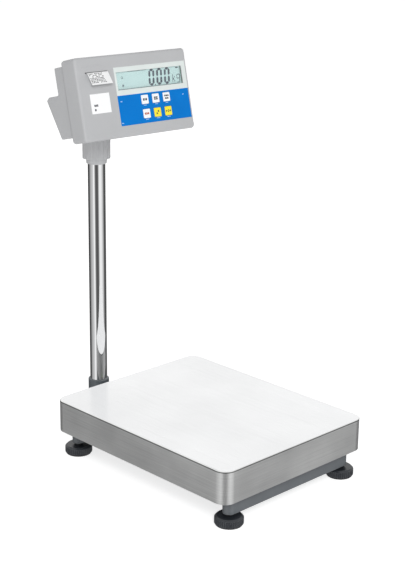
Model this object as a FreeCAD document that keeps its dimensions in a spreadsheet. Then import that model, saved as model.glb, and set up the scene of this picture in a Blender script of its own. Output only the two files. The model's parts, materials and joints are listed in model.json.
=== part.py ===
import FreeCAD, Part
import math
import os
import re
import Sketcher

# Bench scale: weighing platform on four levelling feet, a pole behind it and a printing
# indicator head that swivels and tilts on the pole. Millimetres, +Z up, +X to the operator's
# right, the operator stands at -Y. The origin is on the floor, under the middle of the
# object's bounding box.

SIZES = {
    # platform
    "platform_height": 124,
    "pan_width": 400,
    "pan_length": 500,
    "pan_skirt": 68,
    "pan_sheet": 1.5,
    "pan_corner": 24,
    "pan_bend": 2.5,
    "plate_width": 330,
    "plate_length": 430,
    "plate_thick": 6,
    "plate_rib": 8,
    "rib_place": 104,
    "rib_width": 12,
    "rib_inset": 30,
    "buffer_radius": 15,
    "buffer_height": 6,
    "buffer_gap": 0.3,
    "buffer_inset": 40,
    # load cell
    "cell_length": 150,
    "cell_width": 40,
    "cell_height": 36,
    "cell_hole": 11,
    "cell_hole_pitch": 38,
    "cell_slot": 4,
    "cell_thread": 16,
    "spacer_length": 44,
    "spacer_thick": 4,
    "cell_bolt_pitch": 24,
    "cell_bolt_radius": 4,
    "cell_bolt_head": 5.5,
    "lower_bolt_length": 18,
    "upper_bolt_length": 24,
    "bolt_gap": 0.1,
    # base frame
    "beam_bottom": 24,
    "beam_top": 62,
    "beam_width": 26,
    "beam_reach": 160.5,
    "beam_place": 223.5,
    "beam_wall": 3,
    "beam_block": 20,
    "spine_width": 84,
    "spine_height": 24,
    "spine_wall": 3,
    "bracket_width": 60,
    "bracket_height": 26,
    "bracket_lift": 4,
    "bracket_lap": 1.2,
    "stop_side": 135,
    "stop_place": 213.4,
    "stop_radius": 3,
    "stop_head": 5,
    "stop_gap": 7,
    "level_place": 266,
    "level_radius": 13,
    "level_height": 9,
    "level_floor": 2,
    "vial_radius": 9.95,
    "vial_height": 6,
    # levelling feet
    "foot_radius": 28.5,
    "foot_knurl_top": 15,
    "foot_top": 19,
    "foot_pad_radius": 26,
    "foot_pad_thick": 3,
    "foot_pin_radius": 4,
    "foot_pin_height": 5.5,
    "foot_gap": 0.3,
    "pin_socket": 7,
    "notch_radius": 1.9,
    "notch_place": 29.2,
    "stud_top": 53,
    "stud_radius": 5,
    "run_gap": 0.08,
    "nut_height": 4.4,
    "nut_flats": 17,
    # pole and its ends
    "pole_gap": 97.6,
    "pole_radius": 19,
    "pole_wall": 1.5,
    "pole_bottom": 26,
    "pole_top": 629,
    "socket_radius": 23,
    "socket_bottom": 20,
    "socket_top": 91,
    "socket_screw_low": 70,
    "socket_screw_high": 82,
    "clamp_screw_radius": 3,
    "socket_screw_length": 4.5,
    "collar_radius": 29.75,
    "collar_foot_radius": 22,
    "collar_bottom": 579.5,
    "collar_shoulder": 591,
    "collar_top": 640,
    "collar_screw_low": 598,
    "collar_screw_high": 616,
    "collar_screw_length": 7,
    "flute_radius": 7,
    "flute_place": 35.25,
    "flute_stop": 6,
    "neck_rise": 8,
    # tilt joint, seen from the pole axis
    "lug_width": 20,
    "lug_radius": 14,
    "pivot_ahead": 12,
    "pivot_height": 668,
    "pivot_radius": 4,
    "ear_thick": 3,
    "ear_radius": 12,
    "side_gap": 0.4,
    "bracket_half": 32,
    "bracket_foot": 24,
    "bracket_head": 20,
    "bracket_screw_place": 25,
    "bracket_screw_radius": 2,
    "bracket_screw_length": 9,
    "knob_radius": 13,
    "knob_thick": 12,
    "grip_radius": 4,
    "grip_place": 14.5,
    "pivot_head_radius": 7,
    "pivot_head_thick": 5,
    # head: x across the face, y into the head, z up the face from its lower edge
    "head_width": 278,
    "head_height": 166,
    "head_depth": 49,
    "head_wall": 2.5,
    "head_corner": 7,
    "head_front_edge": 5,
    "head_back_edge": 6,
    "face_reach": 160.4,
    "face_foot": 665.3,
    "cover_half": 135,
    "cover_low": 13,
    "cover_top": 155.5,
    "cover_depth": 80,
    "bulge_foot": 91,
    "bulge_depth": 124.5,
    "bulge_edge": 95,
    "bulge_top": 101,
    "bulge_chamfer": 9,
    "back_opening": 125,
    "back_opening_low": 20,
    "back_opening_high": 142,
    "post_radius": 4,
    "post_length": 12,
    "post_hole": 1.35,
    "board_screw_length": 8,
    "board_screw_head": 2,
    "housing_screw_height": 147,
    "housing_screw_radius": 1.6,
    "screw_boss": 5.2,
    "screw_sink": 3.6,
    "screw_sink_depth": 4,
    # overlay, display and keys
    "overlay_left": -48,
    "overlay_right": 134,
    "overlay_low": 22.5,
    "overlay_high": 140,
    "overlay_thick": 0.5,
    "recess": 0.6,
    "window_left": -43,
    "window_right": 124,
    "window_low": 94,
    "window_high": 130,
    "key_width": 17.4,
    "key_height": 18.3,
    "key_first": 19.2,
    "key_pitch": 27.85,
    "key_row_low": 41.5,
    "key_row_high": 70.2,
    "key_gap": 0.35,
    "key_proud": 0.4,
    "key_depth": 3.9,
    "window_sheet": 1.5,
    "lcd_depth": 4.1,
    "lcd_thick": 6,
    "keypad_board_depth": 4.5,
    "board_depth": 12.1,
    "board_thick": 1.6,
    # battery and sockets
    "battery_left": -20,
    "battery_width": 97,
    "battery_low": 28,
    "battery_height": 50,
    "battery_front": 50,
    "battery_thick": 24,
    "terminal_width": 8,
    "terminal_height": 5,
    "terminal_inset": 12,
    "inlet_x": 40,
    "socket_depth": 62,
    "inlet_radius": 4,
    "inlet_flange": 7,
    "inlet_length": 12,
    "serial_x": 80,
    "serial_middle": 63,
    # printer
    "slot_left": -117,
    "slot_right": -63,
    "slot_low": 133.2,
    "slot_high": 135.8,
    "seam_left": -126,
    "seam_right": -66,
    "seam_low": 146.6,
    "seam_high": 147.3,
    "seam_depth": 0.4,
    "strip_left": -114,
    "strip_right": -64,
    "platen_radius": 6,
    "platen_depth": 16,
    "platen_height": 126,
    "platen_shaft": 2,
    "platen_gear": 7,
    "frame_depth": 30,
    "frame_sheet": 2,
    "frame_low": 100,
    "frame_side_low": 112,
    "frame_high": 142,
    "frame_front": 6,
    "print_head_front": 8,
    "print_head_depth": 18,
    "print_head_thick": 1.6,
    "roll_radius": 26,
    "roll_core": 12,
    "roll_depth": 64,
    "roll_height": 56,
    "spindle_radius": 4,
    "cradle_half": 8,
    "cradle_side": 3.5,
    "hatch_left": -123,
    "hatch_right": -55,
    "hatch_low": 16.5,
    "hatch_high": 72,
    "hatch_barrel": 2.9,
    "hatch_pin": 1.2,
    "hatch_gap": 0.4,
    "lug_thick": 3,
    "lug_depth": 8,
    # paper
    "paper_thick": 0.25,
    "strip_exit": 134.6,
    "strip_bend": 4,
    "strip_tail": 25.5,
    "strip_inside": 7,
    "label_left": -114,
    "label_right": -67,
    "label_low": 53.5,
    "label_high": 92.5,
}

HEAD_TILT = 13.9       # degrees the face leans back at rest
HEAD_YAW = -4.25       # degrees the head is turned about the pole at rest
STRIP_LEAN = 64        # degrees the paper strip turns down as it leaves the slot
KNURL_NOTCHES = 40
COLLAR_FLUTES = 16
KNOB_GRIPS = 6

doc = FreeCAD.newDocument("bench_scale")


def make_sheet():
    sheet = doc.addObject("Spreadsheet::Sheet", "Sizes")
    for row, (alias, number) in enumerate(SIZES.items(), start=1):
        sheet.set(f"A{row}", alias)
        sheet.set(f"B{row}", str(number))
        sheet.setAlias(f"B{row}", alias)
    doc.recompute()
    return sheet


SHEET = make_sheet()


def bound(text):
    """Turn aliases in an expression into references to the sheet."""
    def reference(word):
        return "Sizes." + word[0] if word[0] in SIZES else word[0]
    return re.sub(r"[a-z][a-z_]+", reference, str(text))


def num(text):
    """The number that an expression stands for."""
    return float(SHEET.evalExpression(bound(text)))


# ---------------------------------------------------------------- frames

def shift(x, y, z):
    return FreeCAD.Placement(FreeCAD.Vector(num(x), num(y), num(z)), FreeCAD.Rotation())


def turn(axis, degrees):
    return FreeCAD.Placement(FreeCAD.Vector(), FreeCAD.Rotation(FreeCAD.Vector(*axis), degrees))


FRONT_REACH = "beam_place + foot_radius"
REAR_REACH = "pan_length / 2 + pole_gap + collar_radius"
PAN_PLACE = f"(({FRONT_REACH}) - ({REAR_REACH})) / 2"
SLANT = math.degrees(math.atan2(num("bulge_depth - bulge_foot"), num("bulge_edge - cover_low")))

PLATFORM = shift(0, PAN_PLACE, 0)
POLE = PLATFORM * shift(0, "pan_length / 2 + pole_gap", 0)
COLLAR = POLE * turn((0, 0, 1), HEAD_YAW)
HEAD = COLLAR * shift(0, "-face_reach", "face_foot") * turn((1, 0, 0), -HEAD_TILT)
SLANT_LOCAL = shift(0, "bulge_foot", "cover_low") * turn((1, 0, 0), -SLANT)
SLANT_FACE = HEAD * SLANT_LOCAL


# ---------------------------------------------------------------- sketches and features

def new_body(label):
    body = doc.addObject("PartDesign::Body", label)
    body.Label = label
    return body


def origin_plane(body, name):
    for feature in body.Origin.OriginFeatures:
        if feature.Role == name + "_Plane":
            return feature
    raise ValueError(name)


def draw_polygon(sketch, points):
    """A closed outline; every corner is held by its two coordinates."""
    corners = [FreeCAD.Vector(num(x), num(y), 0) for x, y in points]
    count = len(corners)
    first = sketch.GeometryCount
    for index in range(count):
        sketch.addGeometry(Part.LineSegment(corners[index], corners[(index + 1) % count]), False)
    for index in range(count):
        line = first + index
        sketch.addConstraint(Sketcher.Constraint("Coincident", line, 2, first + (index + 1) % count, 1))
        for kind, text, spot in (("DistanceX", points[index][0], corners[index].x),
                                 ("DistanceY", points[index][1], corners[index].y)):
            held = sketch.addConstraint(Sketcher.Constraint(kind, line, 1, spot))
            sketch.setExpression(f"Constraints[{held}]", bound(text))


def draw_circle(sketch, x, y, radius):
    centre = FreeCAD.Vector(num(x), num(y), 0)
    circle = sketch.addGeometry(Part.Circle(centre, FreeCAD.Vector(0, 0, 1), num(radius)), False)
    for kind, text, spot in (("DistanceX", x, centre.x), ("DistanceY", y, centre.y)):
        held = sketch.addConstraint(Sketcher.Constraint(kind, circle, 3, spot))
        sketch.setExpression(f"Constraints[{held}]", bound(text))
    held = sketch.addConstraint(Sketcher.Constraint("Radius", circle, num(radius)))
    sketch.setExpression(f"Constraints[{held}]", bound(radius))


def draw_round_rectangle(sketch, left, low, right, high, radius):
    """Straight sides held by their ends' coordinates, joined by arcs of one radius."""
    near, far = f"({left}) + {radius}", f"({right}) - {radius}"
    foot, head = f"({low}) + {radius}", f"({high}) - {radius}"
    sides = [((near, low), (far, low)), ((right, foot), (right, head)),
             ((far, high), (near, high)), ((left, head), (left, foot))]
    centres = [(far, foot), (far, head), (near, head), (near, foot)]
    first = sketch.GeometryCount
    size = num(radius)
    for ends in sides:
        corners = [FreeCAD.Vector(num(x), num(y), 0) for x, y in ends]
        line = sketch.addGeometry(Part.LineSegment(*corners), False)
        for point in (0, 1):
            for kind, text, spot in (("DistanceX", ends[point][0], corners[point].x),
                                     ("DistanceY", ends[point][1], corners[point].y)):
                held = sketch.addConstraint(Sketcher.Constraint(kind, line, point + 1, spot))
                sketch.setExpression(f"Constraints[{held}]", bound(text))
    for index, (x, y) in enumerate(centres):
        circle = Part.Circle(FreeCAD.Vector(num(x), num(y), 0), FreeCAD.Vector(0, 0, 1), size)
        begin = math.radians(90 * index - 90)
        arc = sketch.addGeometry(Part.ArcOfCircle(circle, begin, begin + math.pi / 2), False)
        sketch.addConstraint(Sketcher.Constraint("Coincident", arc, 1, first + index, 2))
        sketch.addConstraint(Sketcher.Constraint("Coincident", arc, 2, first + (index + 1) % 4, 1))
        held = sketch.addConstraint(Sketcher.Constraint("Radius", arc, size))
        sketch.setExpression(f"Constraints[{held}]", bound(radius))


def sketch_on(body, plane, start, outlines):
    """A sketch on an origin plane, moved along the positive normal axis by start."""
    sketch = body.newObject("Sketcher::SketchObject", body.Label + "_sketch")
    sketch.AttachmentSupport = [(origin_plane(body, plane), "")]
    sketch.MapMode = "FlatFace"
    sign = "-" if plane == "XZ" else ""
    sketch.setExpression("AttachmentOffset.Base.z", bound(f"{sign}({start})"))
    for outline in outlines:
        if len(outline) == 5:
            draw_round_rectangle(sketch, *outline)
        elif isinstance(outline, tuple):
            draw_circle(sketch, *outline)
        else:
            draw_polygon(sketch, outline)
    doc.recompute()
    return sketch


def rect(left, low, right, high):
    return [(left, low), (right, low), (right, high), (left, high)]


def pad(body, plane, start, length, outlines):
    sketch = sketch_on(body, plane, start, outlines)
    feature = body.newObject("PartDesign::Pad", body.Label + "_pad")
    feature.Profile = sketch
    feature.setExpression("Length", bound(length))
    feature.Reversed = plane == "XZ"
    doc.recompute()
    return feature


def pocket(body, plane, start, length, outlines):
    before = body.Shape.Volume
    sketch = sketch_on(body, plane, start, outlines)
    feature = body.newObject("PartDesign::Pocket", body.Label + "_pocket")
    feature.Profile = sketch
    feature.setExpression("Length", bound(length))
    feature.Reversed = plane != "XZ"
    doc.recompute()
    if body.Shape.Volume > before - 0.01:
        raise RuntimeError("pocket removed nothing from " + body.Label)
    return feature


def dress(body, kind, size, chosen):
    """Fillet or Chamfer the tip's edges that chosen(edge) picks."""
    base = body.Tip
    names = [f"Edge{i}" for i, edge in enumerate(base.Shape.Edges, start=1) if chosen(edge)]
    feature = body.newObject("PartDesign::" + kind, body.Label + "_" + kind.lower())
    feature.Base = (base, names)
    feature.setExpression("Radius" if kind == "Fillet" else "Size", bound(size))
    doc.recompute()
    return feature


def along(axis, where=None, at=0.0):
    """Picks straight edges along an axis; where and at add a plane that they lie in."""
    def chosen(edge):
        if len(edge.Vertexes) != 2 or edge.Curve.TypeId != "Part::GeomLine":
            return False
        run = edge.Vertexes[1].Point - edge.Vertexes[0].Point
        if abs(run[axis]) < 0.999 * run.Length:
            return False
        return where is None or abs(edge.CenterOfMass[where] - at) < 0.01
    return chosen


def in_plane(axis, at):
    """Picks every edge that lies wholly in the plane axis = at."""
    def chosen(edge):
        box = edge.BoundBox
        low = (box.XMin, box.YMin, box.ZMin)[axis]
        high = (box.XMax, box.YMax, box.ZMax)[axis]
        return abs(low - at) < 0.01 and abs(high - at) < 0.01
    return chosen


def prism(label, frame, plane, start, length, outlines):
    body = new_body(label)
    pad(body, plane, start, length, outlines)
    body.Placement = frame
    return body


# ---------------------------------------------------------------- primitives and groups

def cylinder(x, y, z, radius, height, axis=(0, 0, 1)):
    piece = doc.addObject("Part::Cylinder", "rod")
    piece.setExpression("Radius", bound(radius))
    piece.setExpression("Height", bound(height))
    spin = FreeCAD.Rotation(FreeCAD.Vector(0, 0, 1), FreeCAD.Vector(*axis))
    piece.Placement = FreeCAD.Placement(FreeCAD.Vector(num(x), num(y), num(z)), spin)
    return piece


def block(x, y, z, length, width, height):
    piece = doc.addObject("Part::Box", "block")
    piece.setExpression("Length", bound(length))
    piece.setExpression("Width", bound(width))
    piece.setExpression("Height", bound(height))
    piece.Placement = shift(x, y, z)
    return piece


def fuse(pieces, label="joined", frame=None):
    joined = doc.addObject("Part::MultiFuse", label)
    joined.Shapes = pieces
    joined.Label = label
    if frame is not None:
        joined.Placement = frame
    return joined


def cut(base, tool, label="trimmed", frame=None):
    trimmed = doc.addObject("Part::Cut", label)
    trimmed.Base = base
    trimmed.Tool = tool
    trimmed.Label = label
    if frame is not None:
        trimmed.Placement = frame
    return trimmed


def group(pieces, label, frame):
    """Identical separate solids kept as one sub-part."""
    together = doc.addObject("Part::Compound", label)
    together.Links = pieces
    together.Label = label
    together.Placement = frame
    return together


def screw(x, y, z, radius, length, head_radius, head_height, axis=(0, 0, 1)):
    """A cap screw: the head sits at the point given, the shank runs against axis."""
    place = FreeCAD.Vector(num(x), num(y), num(z))
    back = place - FreeCAD.Vector(*axis) * num(length)
    head = cylinder(place.x, place.y, place.z, head_radius, head_height, axis)
    shank = cylinder(back.x, back.y, back.z, radius, length, axis)
    socket_depth = f"({head_height}) * 0.6"
    top = place + FreeCAD.Vector(*axis) * num(f"({head_height}) * 0.4")
    recess = doc.addObject("Part::Prism", "hex_recess")
    recess.Polygon = 6
    recess.setExpression("Circumradius", bound(f"({head_radius}) * 0.5"))
    recess.setExpression("Height", bound(socket_depth))
    spin = FreeCAD.Rotation(FreeCAD.Vector(0, 0, 1), FreeCAD.Vector(*axis))
    recess.Placement = FreeCAD.Placement(top, spin)
    return cut(fuse([head, shank]), recess, "screw")


# ---------------------------------------------------------------- platform

PLATE_TOP = "platform_height - pan_sheet - buffer_height"
CELL_BOTTOM = "beam_top"
CELL_TOP = "beam_top + cell_height"
PLATE_BOTTOM = "platform_height - pan_sheet - buffer_height - plate_thick"
SPINE_TOP = "beam_top - spacer_thick"
BRACKET_LOW = "beam_bottom + bracket_lift"
CELL_BOLT_NEAR = "-(cell_length / 2 - spacer_length / 2)"
CELL_BOLT_FAR = "cell_length / 2 - spacer_length / 2"
SCREW_HOLE = "clamp_screw_radius + bolt_gap / 2"
SIDES = (-1, 1)


def make_pan():
    body = new_body("weighing_pan")
    half_w, half_l = "pan_width / 2", "pan_length / 2"
    low = "platform_height - pan_skirt"
    pad(body, "XY", low, "pan_skirt", [(f"-{half_w}", f"-{half_l}", half_w, half_l, "pan_corner")])
    dress(body, "Fillet", "pan_bend", in_plane(2, num("platform_height")))
    in_w, in_l = "pan_width / 2 - pan_sheet", "pan_length / 2 - pan_sheet"
    pocket(body, "XY", low, "pan_skirt - pan_sheet",
           [(f"-({in_w})", f"-({in_l})", in_w, in_l, "(pan_corner - pan_sheet)")])
    body.Placement = PLATFORM


def make_support():
    half_w, half_l = "plate_width / 2", "plate_length / 2"
    body = new_body("support_plate")
    pad(body, "XY", PLATE_BOTTOM, "plate_thick", [rect(f"-{half_w}", f"-{half_l}", half_w, half_l)])
    dress(body, "Fillet", "buffer_radius", along(2))
    reach = "plate_length / 2 - rib_inset"
    for left in ("rib_place", "-(rib_place + rib_width)"):
        pad(body, "XY", f"{PLATE_BOTTOM} - plate_rib", "plate_rib + plate_thick / 2",
            [rect(left, f"-({reach})", f"{left} + rib_width", reach)])
    holes = [(f"{side} * cell_bolt_pitch / 2", CELL_BOLT_FAR, "cell_bolt_radius + bolt_gap")
             for side in SIDES]
    pocket(body, "XY", PLATE_BOTTOM, "plate_thick", holes)
    body.Placement = PLATFORM
    buffers = []
    for side in SIDES:
        for end in SIDES:
            x = f"{side} * (plate_width / 2 - buffer_inset)"
            y = f"{end} * (plate_length / 2 - buffer_inset)"
            buffers.append(cylinder(x, y, PLATE_TOP, "buffer_radius", "buffer_height - buffer_gap"))
    group(buffers, "pan_buffers", PLATFORM)


def make_load_cell():
    half = "cell_width / 2"
    body = new_body("load_cell")
    pad(body, "YZ", f"-{half}", "cell_width",
        [rect("-cell_length / 2", CELL_BOTTOM, "cell_length / 2", CELL_TOP)])
    middle = "beam_top + cell_height / 2"
    pocket(body, "YZ", f"-{half}", "cell_width", [("-cell_hole_pitch / 2", middle, "cell_hole")])
    pocket(body, "YZ", f"-{half}", "cell_width", [("cell_hole_pitch / 2", middle, "cell_hole")])
    pocket(body, "YZ", f"-{half}", "cell_width",
           [rect("-cell_hole_pitch / 2", f"{middle} - cell_slot / 2", "cell_hole_pitch / 2",
                 f"{middle} + cell_slot / 2")])
    for end, low in ((CELL_BOLT_NEAR, CELL_BOTTOM), (CELL_BOLT_FAR, f"{CELL_TOP} - cell_thread")):
        for side in SIDES:
            hole = (f"{side} * cell_bolt_pitch / 2", end, "cell_bolt_radius + bolt_gap")
            pocket(body, "XY", low, "cell_thread", [hole])
    body.Placement = PLATFORM
    make_spacer("cell_spacer_lower", CELL_BOLT_NEAR, SPINE_TOP, "spacer_thick")
    make_spacer("cell_spacer_upper", CELL_BOLT_FAR, CELL_TOP, f"({PLATE_BOTTOM}) - ({CELL_TOP})")
    make_cell_bolts("cell_bolts_lower", CELL_BOLT_NEAR, f"{SPINE_TOP} - spine_wall", (0, 0, -1),
                    "lower_bolt_length")
    make_cell_bolts("cell_bolts_upper", CELL_BOLT_FAR, PLATE_TOP, (0, 0, 1), "upper_bolt_length")


def make_spacer(label, middle, low, thick):
    body = new_body(label)
    reach = "spacer_length / 2"
    pad(body, "XY", low, thick,
        [rect("-cell_width / 2", f"({middle}) - {reach}", "cell_width / 2", f"({middle}) + {reach}")])
    for side in SIDES:
        pocket(body, "XY", low, thick,
               [(f"{side} * cell_bolt_pitch / 2", middle, "cell_bolt_radius + bolt_gap")])
    body.Placement = PLATFORM


def make_cell_bolts(label, middle, height, axis, length):
    bolts = [screw(f"{side} * cell_bolt_pitch / 2", middle, height, "cell_bolt_radius", length,
                   "cell_bolt_radius * 1.6", "cell_bolt_head", axis) for side in SIDES]
    group(bolts, label, PLATFORM)


def make_beam(label, end):
    """A beam with round ends, open below between its solid ends."""
    body = new_body(label)
    place = f"{end} * beam_place"
    tall = "beam_top - beam_bottom"
    reach, half = "beam_reach", "beam_width / 2"
    pad(body, "XY", "beam_bottom", tall,
        [rect(f"-({reach} + {half})", f"{place} - {half}", f"{reach} + {half}", f"{place} + {half}")])
    dress(body, "Fillet", f"{half} - 0.01", along(2))
    inner = f"({half} - beam_wall)"
    pocket(body, "XY", "beam_bottom", f"{tall} - beam_wall",
           [rect(f"-({reach} - beam_block)", f"{place} - {inner}", f"{reach} - beam_block",
                 f"{place} + {inner}")])
    for side in SIDES:
        pocket(body, "XY", "beam_bottom", f"{tall} - beam_wall",
               [(f"{side} * {reach}", place, "stud_radius + run_gap")])
    body.Placement = PLATFORM


def make_base():
    make_beam("front_beam", -1)
    make_beam("rear_beam", 1)
    inside = "beam_place - beam_width / 2"
    low = "beam_top - spacer_thick - spine_height"
    spine = new_body("base_spine")
    half = "spine_width / 2"
    pad(spine, "XY", low, "spine_height", [rect(f"-{half}", f"-({inside})", half, inside)])
    inner = "(spine_width / 2 - spine_wall)"
    pocket(spine, "XY", low, "spine_height - spine_wall", [rect(f"-{inner}", f"-({inside})", inner, inside)])
    holes = [(f"{side} * cell_bolt_pitch / 2", CELL_BOLT_NEAR, "cell_bolt_radius + bolt_gap")
             for side in SIDES]
    pocket(spine, "XY", f"{low} + spine_height - spine_wall", "spine_wall", holes)
    spine.Placement = PLATFORM
    make_pole_bracket()
    shank = f"{PLATE_BOTTOM} - stop_gap - beam_top"
    stops = [screw(f"{side} * stop_side", f"{end} * stop_place", f"{PLATE_BOTTOM} - stop_gap", "stop_radius",
                   shank, "stop_head", "stop_head") for side in SIDES for end in SIDES]
    group(stops, "overload_stops", PLATFORM)


def make_pole_bracket():
    """The square tube from the rear beam to the pole socket."""
    bracket = new_body("column_bracket")
    start = "beam_place + beam_width / 2"
    length = "pan_length / 2 + pole_gap - socket_radius + bracket_lap - beam_place - beam_width / 2"
    low, wide = BRACKET_LOW, "bracket_width / 2"
    pad(bracket, "XZ", start, length, [rect(f"-{wide}", low, wide, f"{low} + bracket_height")])
    bore = f"{wide} - spine_wall"
    pocket(bracket, "XZ", start, length,
           [rect(f"-({bore})", f"{low} + spine_wall", bore, f"{low} + bracket_height - spine_wall")])
    socket_way = cylinder(0, "pan_length / 2 + pole_gap", "beam_bottom", "socket_radius + 0.02",
                          "bracket_lift * 2 + bracket_height")
    cut(bracket, socket_way, "pole_bracket", PLATFORM)


def make_level():
    """A round bubble level on the pole bracket."""
    top = f"{BRACKET_LOW} + bracket_height"
    floor = f"{top} + level_floor"
    body = new_body("level_housing")
    pad(body, "XY", top, "level_height", [(0, "level_place", "level_radius")])
    pocket(body, "XY", floor, "level_height - level_floor", [(0, "level_place", "vial_radius + 0.05")])
    rim = outer_ring(f"{top} + level_height", "level_radius")
    dress(body, "Chamfer", "level_radius - vial_radius - 2.4", rim)
    body.Placement = PLATFORM
    vial = prism("level_vial", PLATFORM, "XY", floor, "vial_height", [(0, "level_place", "vial_radius")])
    dress(vial, "Fillet", "vial_height / 4", in_plane(2, num(f"{floor} + vial_height")))


def make_pole():
    prism("pole", POLE, "XY", "pole_bottom", "pole_top - pole_bottom",
          [(0, 0, "pole_radius"), (0, 0, "pole_radius - pole_wall")])
    socket = new_body("pole_socket")
    pad(socket, "XY", "socket_bottom", "socket_top - socket_bottom", [(0, 0, "socket_radius")])
    pocket(socket, "XY", "pole_bottom", "socket_top - pole_bottom", [(0, 0, "pole_radius + run_gap")])
    dress(socket, "Fillet", "pole_wall", outer_ring("socket_top", "socket_radius"))
    heights = ("socket_screw_low", "socket_screw_high")
    for height in heights:
        pocket(socket, "XZ", 0, "socket_radius + pole_wall", [(0, height, SCREW_HOLE)])
    socket.Placement = POLE
    screws = [set_screw("pole_radius + run_gap + 0.1", height, "socket_screw_length") for height in heights]
    group(screws, "socket_screws", POLE)


def set_screw(start, height, length):
    """A clamp screw without a head, pointing away from the operator, with a hexagon recess."""
    rod = cylinder(0, start, height, "clamp_screw_radius", length, (0, 1, 0))
    recess = doc.addObject("Part::Prism", "hex_recess")
    recess.Polygon = 6
    recess.setExpression("Circumradius", bound("clamp_screw_radius / 2"))
    recess.setExpression("Height", bound("clamp_screw_radius"))
    spin = FreeCAD.Rotation(FreeCAD.Vector(0, 0, 1), FreeCAD.Vector(0, 1, 0))
    mouth = num(f"{start} + {length} - clamp_screw_radius")
    recess.Placement = FreeCAD.Placement(FreeCAD.Vector(0, mouth, num(height)), spin)
    return cut(rod, recess, "set_screw")


def outer_ring(height, radius):
    def chosen(edge):
        round_edge = edge.Curve.TypeId == "Part::GeomCircle"
        return in_plane(2, num(height))(edge) and round_edge and abs(edge.Curve.Radius - num(radius)) < 0.01
    return chosen


# ---------------------------------------------------------------- feet

FEET = {"front_left": (-1, -1), "front_right": (1, -1), "rear_left": (-1, 1), "rear_right": (1, 1)}


def make_foot(name, side, end):
    place = PLATFORM * shift(f"{side} * beam_reach", f"{end} * beam_place", 0)
    pin = "foot_pin_radius"
    foot_pad = new_body("foot_pad_" + name)
    pad(foot_pad, "XY", 0, "foot_pad_thick", [(0, 0, "foot_pad_radius")])
    pad(foot_pad, "XY", "foot_pad_thick / 2", "foot_pin_height + foot_pad_thick / 2", [(0, 0, pin)])
    foot_pad.Placement = place

    knob = new_body("foot_knob_" + name)
    low = "foot_pad_thick + foot_gap"
    pad(knob, "XY", low, f"foot_top - ({low})", [(0, 0, "foot_radius")])
    dress(knob, "Chamfer", "foot_top - foot_knurl_top", outer_ring("foot_top", "foot_radius"))
    pocket(knob, "XY", low, "pin_socket", [(0, 0, f"{pin} + run_gap")])
    notch = pocket(knob, "XY", low, f"foot_top - ({low})", [("notch_place", 0, "notch_radius")])
    pattern = knob.newObject("PartDesign::PolarPattern", "knurl")
    pattern.Originals = [notch]
    pattern.Axis = (notch.Profile[0], ["N_Axis"])
    pattern.Angle = 360
    pattern.Occurrences = KNURL_NOTCHES
    knob.Tip = pattern
    doc.recompute()
    pad(knob, "XY", "foot_knurl_top", "stud_top - foot_knurl_top", [(0, 0, "stud_radius")])
    knob.Placement = place


def make_feet():
    for name, (side, end) in FEET.items():
        make_foot(name, side, end)
    nuts = []
    for side, end in FEET.values():
        nut = doc.addObject("Part::Prism", "hex_nut")
        nut.Polygon = 6
        nut.setExpression("Circumradius", bound("nut_flats / 1.732"))
        nut.setExpression("Height", bound("nut_height"))
        x, y = f"{side} * beam_reach", f"{end} * beam_place"
        nut.Placement = shift(x, y, "beam_bottom - nut_height")
        hole = cylinder(x, y, "beam_bottom - nut_height", "stud_radius + run_gap", "nut_height")
        nuts.append(cut(nut, hole, "nut"))
    group(nuts, "foot_locknuts", PLATFORM)


# ---------------------------------------------------------------- collar and tilt joint

def make_collar():
    body = new_body("clamp_collar")
    pad(body, "XY", "collar_shoulder", "collar_top - collar_shoulder", [(0, 0, "collar_radius")])
    dress(body, "Fillet", 2, outer_ring("collar_top", "collar_radius"))
    flute = pocket(body, "XY", "collar_shoulder", "collar_top - collar_shoulder - flute_stop",
                   [("flute_place", 0, "flute_radius")])
    pattern = body.newObject("PartDesign::PolarPattern", "flutes")
    pattern.Originals = [flute]
    pattern.Axis = (flute.Profile[0], ["N_Axis"])
    pattern.Angle = 360
    pattern.Occurrences = COLLAR_FLUTES
    body.Tip = pattern
    doc.recompute()
    pad(body, "XY", "collar_bottom", "collar_shoulder - collar_bottom + 1", [(0, 0, "collar_foot_radius")])
    dress(body, "Chamfer", 1.5, outer_ring("collar_bottom", "collar_foot_radius"))
    ahead, high = "pivot_ahead", "pivot_height"
    half = "lug_width / 2"
    neck = [(f"-({ahead} + lug_radius)", "collar_top - 1"),
            (f"lug_radius - {ahead} + neck_rise", "collar_top - 1"),
            (f"lug_radius - {ahead}", high), (f"-({ahead} + lug_radius)", high)]
    pad(body, "YZ", f"-{half}", "lug_width", [neck])
    pad(body, "YZ", f"-{half}", "lug_width", [(f"-{ahead}", high, "lug_radius")])
    pocket(body, "YZ", f"-{half}", "lug_width", [(f"-{ahead}", high, "pivot_radius + run_gap")])
    pocket(body, "XY", "collar_bottom", "pole_top - collar_bottom + 0.5", [(0, 0, "pole_radius + run_gap")])
    heights = ("collar_screw_low", "collar_screw_high")
    for height in heights:
        pocket(body, "XZ", 0, "collar_radius + pole_wall", [(0, height, SCREW_HOLE)])
    body.Placement = COLLAR
    screws = [set_screw("pole_radius + run_gap + 0.3", height, "collar_screw_length") for height in heights]
    group(screws, "collar_screws", COLLAR)


def pivot_on_slant():
    """The tilt pivot's place in the slanted rear face's frame."""
    pivot = COLLAR.multVec(FreeCAD.Vector(0, -num("pivot_ahead"), num("pivot_height")))
    return SLANT_FACE.inverse().multVec(pivot)


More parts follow.
